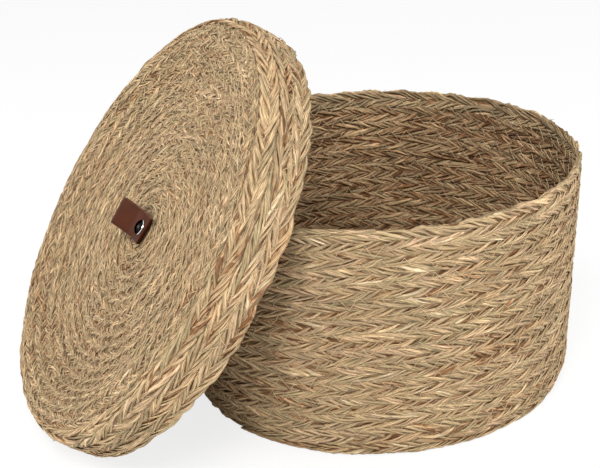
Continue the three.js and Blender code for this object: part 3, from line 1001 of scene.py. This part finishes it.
def zigzag_thread(name, path, first, last, seed, face, stitch, reach, rise, work):
    """A thread that swings from row to row over the seam. Its rings stand a quarter stitch apart, at
    -1, 0, 1 and 0 times the reach from the seam, and rise above it, less where they bridge the dip."""
    rng = np.random.default_rng(seed)
    turn = evenly(path, first, last, stitch / len(STITCH_BEATS))
    middle, across, outward = seam(path, turn)
    each = (len(turn), 1)
    beat = np.resize(STITCH_BEATS, each)
    sway = reach * beat * rng.uniform(*STITCH_SWAYS, each)
    out = face * rise * (BRIDGE_RISE + (1 - BRIDGE_RISE) * np.abs(beat)) * rng.uniform(*STITCH_RISES, each)
    slip = stitch * rng.uniform(*STITCH_SLIPS, each)
    centre = middle + unit(np.gradient(middle, axis=0)) * slip + across * sway + outward * out
    ahead = unit(np.gradient(centre, axis=0))
    side = unit(np.cross(outward, ahead))
    form = (centre[None], side, np.cross(ahead, side), THREAD_RADIUS, THREAD_RADIUS, BLADE_RING)
    tube_piece(name, *form, {}, **work)


straw_thread, start, shader = new_finish("straw_thread", Roughness=0.8, Specular_IOR_Level=0.3)
place = own_place(start)
noise(place, scale=60.0, detail=1.0).between(*STRAW_TONES).to(shader, "Base Color")
bump(noise(place, scale=1500.0), strength=0.3, distance=0.1 * MM).to(shader, "Normal")
thread_seed = 51
for row, body, stitch, *ends in SEAMS:
    for face, way in FACES.items():
        work = work_on(straw_thread, body)
        zigzag_thread(f"{row}_thread_{face}", *ends, seed=thread_seed, face=way, **stitch, work=work)
        thread_seed += 1

# %% [markdown]
# ## Loose ends
# Where a blade runs out, its cut end stands a little off the weave. Nearly three thousand such ends, with
# finer split fibres among them, take away the look of a machine-made pattern. Each starts inside a blade,
# runs along it and lifts off in a shallow curve.

# %% Let the ends stand off
END_RINGS = 6
END_MARGIN = 4
END_AIM = 2
END_LENGTHS = (7.0 * MM, 17.0 * MM)
END_LIFTS = (0.1 * MM, 0.6 * MM)
END_DRIFTS = (-4.0 * MM, 4.0 * MM)
END_WIDTHS = np.array([0.16, 0.2, 0.26, 0.5]) * MM
END_ROOT = 0.3
END_THINNING = 0.7
END_FLATNESS = 0.55
END_SHADES = (0.8, 1.25)


def loose_ends(row, face, blades, finish, body, count, seed):
    """Short tapered blades. With t from 0 to 1 along one, it lies at start + ahead * length * t
    + across * drift * t^2 + out * lift * (0.3 + t^2), and its width falls by 0.7 t^2 towards its tip."""
    rng = np.random.default_rng(seed)
    places = blades["centre"]
    tubes, rings = places.shape[:2]
    tube = rng.integers(0, tubes, count)
    ring = rng.integers(END_MARGIN, rings - END_MARGIN, count)
    ahead = unit(places[tube, ring + END_AIM] - places[tube, ring - END_AIM])
    ahead = (ahead * rng.choice([-1.0, 1.0], (count, 1)))[:, None]
    out = (FACES[face] * blades["up"][tube, ring])[:, None]
    t = np.linspace(0, 1, END_RINGS)[None, :, None]
    length = rng.uniform(*END_LENGTHS, (count, 1, 1))
    lift = rng.uniform(*END_LIFTS, (count, 1, 1))
    drift = rng.uniform(*END_DRIFTS, (count, 1, 1))
    run = ahead * length * t + np.cross(out, ahead) * drift * t**2 + out * lift * (END_ROOT + t**2)
    centre = places[tube, ring][:, None] + run
    centre[..., 2] = np.maximum(centre[..., 2], FLOOR_REST)
    onward = unit(np.gradient(centre, axis=1))
    side = unit(np.cross(out, onward))
    wide = rng.choice(END_WIDTHS, (count, 1)) * (1 - END_THINNING * t[..., 0] ** 2)
    marks = {"hue": rng.random((count, 1)), "shade": rng.uniform(*END_SHADES, (count, 1))}
    form = (centre, side, np.cross(onward, side), wide, END_FLATNESS * wide, BLADE_RING, marks)
    tube_piece(f"{row}_ends_{face}", *form, **work_on(finish, body))


loose_ends("wall", "outside", wall_blades, basket_grass, "basket", count=1200, seed=61)
loose_ends("wall", "inside", wall_blades, basket_grass, "basket", count=600, seed=62)
loose_ends("skirt", "outside", skirt_blades, skirt_grass_painted_light, "lid", count=300, seed=63)
loose_ends("lid_top", "outside", top_blades, lid_grass, "lid", count=800, seed=64)

# %% [markdown]
# ## Leather tab
# The pull tab is one strip of dark brown leather. Both ends lie under the rivet, and the rest stands up
# as a flat loop to pull on. A card would show no fold, so the strip is a tube with a flat ring, carried
# along its own middle line: out along the lower layer, up, round the fold and back down. Its faces are
# darker towards the sides, and the cut sides show paler fibres.

# %% Draw the strip
TAB_SEAT = CREST_HEIGHT + PLAIT_THICKNESS / 2 - TOP_DISH
RIVET_ACROSS = -9.8 * MM
LEATHER = 2.0 * MM
SEAT_GAP = 0.3 * MM
TAB_WIDTH = 22.4 * MM
TAB_RISE = np.radians(34)
TAIL_UNDER = 6.8 * MM
TAIL_OVER = 8.1 * MM
BEND_AT = 9.0 * MM
FOLD_AT = 20.4 * MM
FOLD_RADIUS = 2.4 * MM
LOOP_SHARES = np.linspace(0.12, 0.9, 4)
STRIP_ROUND = 0.35


def beside_rivet(across, height):
    """Places in the room, from distances across the lid from the rivet and up from the tab's seat."""
    return on_lid(np.stack(np.broadcast_arrays(0.0, RIVET_ACROSS + across, TAB_SEAT + height), axis=-1))


def tab_line():
    """Middle line of the strip, as pairs across the lid and up from its seat: the lower layer, the raised
    loop with a half round at its fold, and the upper layer. Three times, each step is replaced by its places
    at a quarter and at three quarters, which rounds the corners."""
    half = np.linspace(-np.pi / 2, np.pi / 2, 9)
    fold = np.stack([FOLD_AT + FOLD_RADIUS * np.cos(half), FOLD_RADIUS * np.sin(half)], axis=-1)
    apart = LEATHER / 2 + (FOLD_RADIUS - LEATHER / 2) * LOOP_SHARES
    lower = np.stack([FOLD_AT * LOOP_SHARES, -apart], axis=-1)
    upper = (lower * [1.0, -1.0])[::-1]
    cosine, sine = np.cos(TAB_RISE), np.sin(TAB_RISE)
    loop = np.concatenate([lower, fold, upper]) @ np.array([[cosine, sine], [-sine, cosine]])
    low, high = SEAT_GAP + np.array([0.5, 1.5]) * LEATHER
    under = np.linspace([-TAIL_UNDER, low], [0.7 * BEND_AT, low], 5)
    over = np.linspace([0.55 * BEND_AT, high], [-TAIL_OVER, high], 5)
    line = np.concatenate([under, loop + [BEND_AT, SEAT_GAP + LEATHER], over])
    for _ in range(3):
        here, there = line[:-1], line[1:]
        cut = np.stack([0.75 * here + 0.25 * there, 0.25 * here + 0.75 * there], axis=1)
        line = np.concatenate([line[:1], cut.reshape(-1, 2), line[-1:]])
    return line


def strip_ring():
    """A ring for a flat strip, from -1 to 1 both ways: straight faces and edges, joined by quarter rounds."""
    turn = np.linspace(0, np.pi / 2, 5)
    corner = np.stack([np.cos(turn), np.sin(turn)], axis=-1) - 1
    first = 1 + STRIP_ROUND * corner * [LEATHER / TAB_WIDTH, 1.0]
    second = first[::-1] * [-1.0, 1.0]
    return np.concatenate([first, second, -first, -second])


print("points on the strip's middle line:", len(tab_line()))

# %% Fold the tab
LEATHER_TONES = (paint(58, 29, 13), paint(80, 37, 18))
WORN_BROWN = paint(46, 23, 11)
CUT_BROWN = paint(112, 74, 60)
CUT_FROM = 0.985
BEND_ENDS = np.array([0.6, 1.4]) * BEND_AT

leather, start, shader = new_finish("brown_leather", Specular_IOR_Level=0.1)
place = own_place(start)
grain = noise(place, scale=1300.0, detail=3.0)
side = start.math("ABSOLUTE", mark(start, "across"))
worn = start.math("POWER", side, 6.0) * 0.5
face = worn.between(noise(place, scale=90.0).between(*LEATHER_TONES), WORN_BROWN)
start.math("GREATER_THAN", side, CUT_FROM).between(face, CUT_BROWN).to(shader, "Base Color")
grain.from_to(0.62, 0.37).to(shader, "Roughness")
bump(grain, strength=0.35, distance=0.15 * MM).to(shader, "Normal")

centre = beside_rivet(*tab_line().T)[None]
up = np.cross(unit(np.gradient(centre, axis=1)), UP_SLOPE)
form = (centre, UP_SLOPE, up, TAB_WIDTH / 2, LEATHER / 2, strip_ring())
tab = tube_piece("leather_tab", *form, {}, leather, "leather", nodes=["tab_foot", "tab_loop"])
bend = beside_rivet(BEND_ENDS, 2 * LEATHER)
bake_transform(tab)

# %% [markdown]
# ## Rivet
# One rivet holds the strip: a black dome with a bright edge on top, a post through leather and plait, and
# a flat button under the lid. A rivet is turned on a lathe, so it is a round tube whose radius changes as
# it goes up. Each ring carries a mark that tells bare metal from black plating.

# %% Turn the rivet
RIVET_RING = round_ring(48)
HEAD_SEAT = 2 * LEATHER + 2 * SEAT_GAP
HEAD_RADIUS = 6.25 * MM
HEAD_BEVEL = np.array([0.28, 0.46]) * MM
HEAD_TOP = HEAD_SEAT + 3.4 * MM
HEAD_EDGE = 0.15 * MM
BEVEL_SHARES = np.array([[0.0], [0.06], [0.94], [1.0]])
POST_RADIUS = 2.0 * MM
BACK_RADIUS = 6.0 * MM
BACK_THICKNESS = 1.8 * MM
SHARP = 0.02 * MM
BLACK_TONES = ((0.012, 0.011, 0.011, 1.0), (0.020, 0.019, 0.018, 1.0))
BARE_METAL = (0.80, 0.79, 0.77, 1.0)


def cap_profile():
    """Radius, height and bare mark of the post from below the plait, a flat seat on the leather, a bare bevel
    and a black cap of a sphere, whose radius is (edge radius^2 + height^2) / (2 height)."""
    post = [[POST_RADIUS, -PLAIT_THICKNESS - SEAT_GAP], [POST_RADIUS, HEAD_SEAT - SHARP]]
    rest = [[POST_RADIUS, HEAD_SEAT], [0.97 * HEAD_RADIUS, HEAD_SEAT]]
    bevel = [HEAD_RADIUS, HEAD_SEAT + HEAD_EDGE] + BEVEL_SHARES * HEAD_BEVEL * [-1.0, 1.0]
    edge_radius, edge_height = bevel[-1]
    rise = HEAD_TOP - edge_height
    ball = (edge_radius**2 + rise**2) / (2 * rise)
    turn = np.linspace(np.arcsin(edge_radius / ball) - 0.01, 0.002, 20)
    cap = np.stack([ball * np.sin(turn), HEAD_TOP - ball * (1 - np.cos(turn))], axis=-1)
    rows = np.concatenate([post, rest, bevel, cap])
    return *rows.T, np.arange(len(rows)) < len(rows) - len(cap)


def back_profile():
    """The same for a flat button under the plait, all bare, with its lower edge rounded off."""
    top = -PLAIT_THICKNESS - 2 * SEAT_GAP
    low = top - BACK_THICKNESS
    half = BACK_THICKNESS / 2
    turn = np.linspace(0, np.pi / 2, 7)
    edge = np.stack([BACK_RADIUS - half + half * np.sin(turn), top - half - half * np.cos(turn)], axis=-1)
    face = [[SHARP, low], [0.98 * (BACK_RADIUS - half), low]]
    seat = [[BACK_RADIUS, top - 0.05 * MM], [0.99 * BACK_RADIUS, top], [SHARP, top]]
    rows = np.concatenate([face, edge, seat])
    return *rows.T, np.full(len(rows), True)


def turned_piece(name, radius, height, bare, node):
    """A lathe piece on the rivet's axis, with one ring for each radius and height above the tab's seat."""
    centre = beside_rivet(0.0, height)[None]
    form = (centre, UP_SLOPE, ACROSS_LID, radius, radius, RIVET_RING, {"bare": bare})
    tube_piece(name, *form, plated, "rivet", "lid", [node])


plated, start, shader = new_finish("plated_rivet", Metallic=1.0, Specular_Tint=(0.1, 0.1, 0.1, 1.0))
smudge = noise(own_place(start), scale=400.0, detail=3.0)
mark(start, "bare").between(smudge.between(*BLACK_TONES), BARE_METAL).to(shader, "Base Color")
smudge.from_to(0.05, 0.17).to(shader, "Roughness")
turned_piece("rivet_dome", *cap_profile(), "rivet_cap")
turned_piece("rivet_button", *back_profile(), "rivet_back")
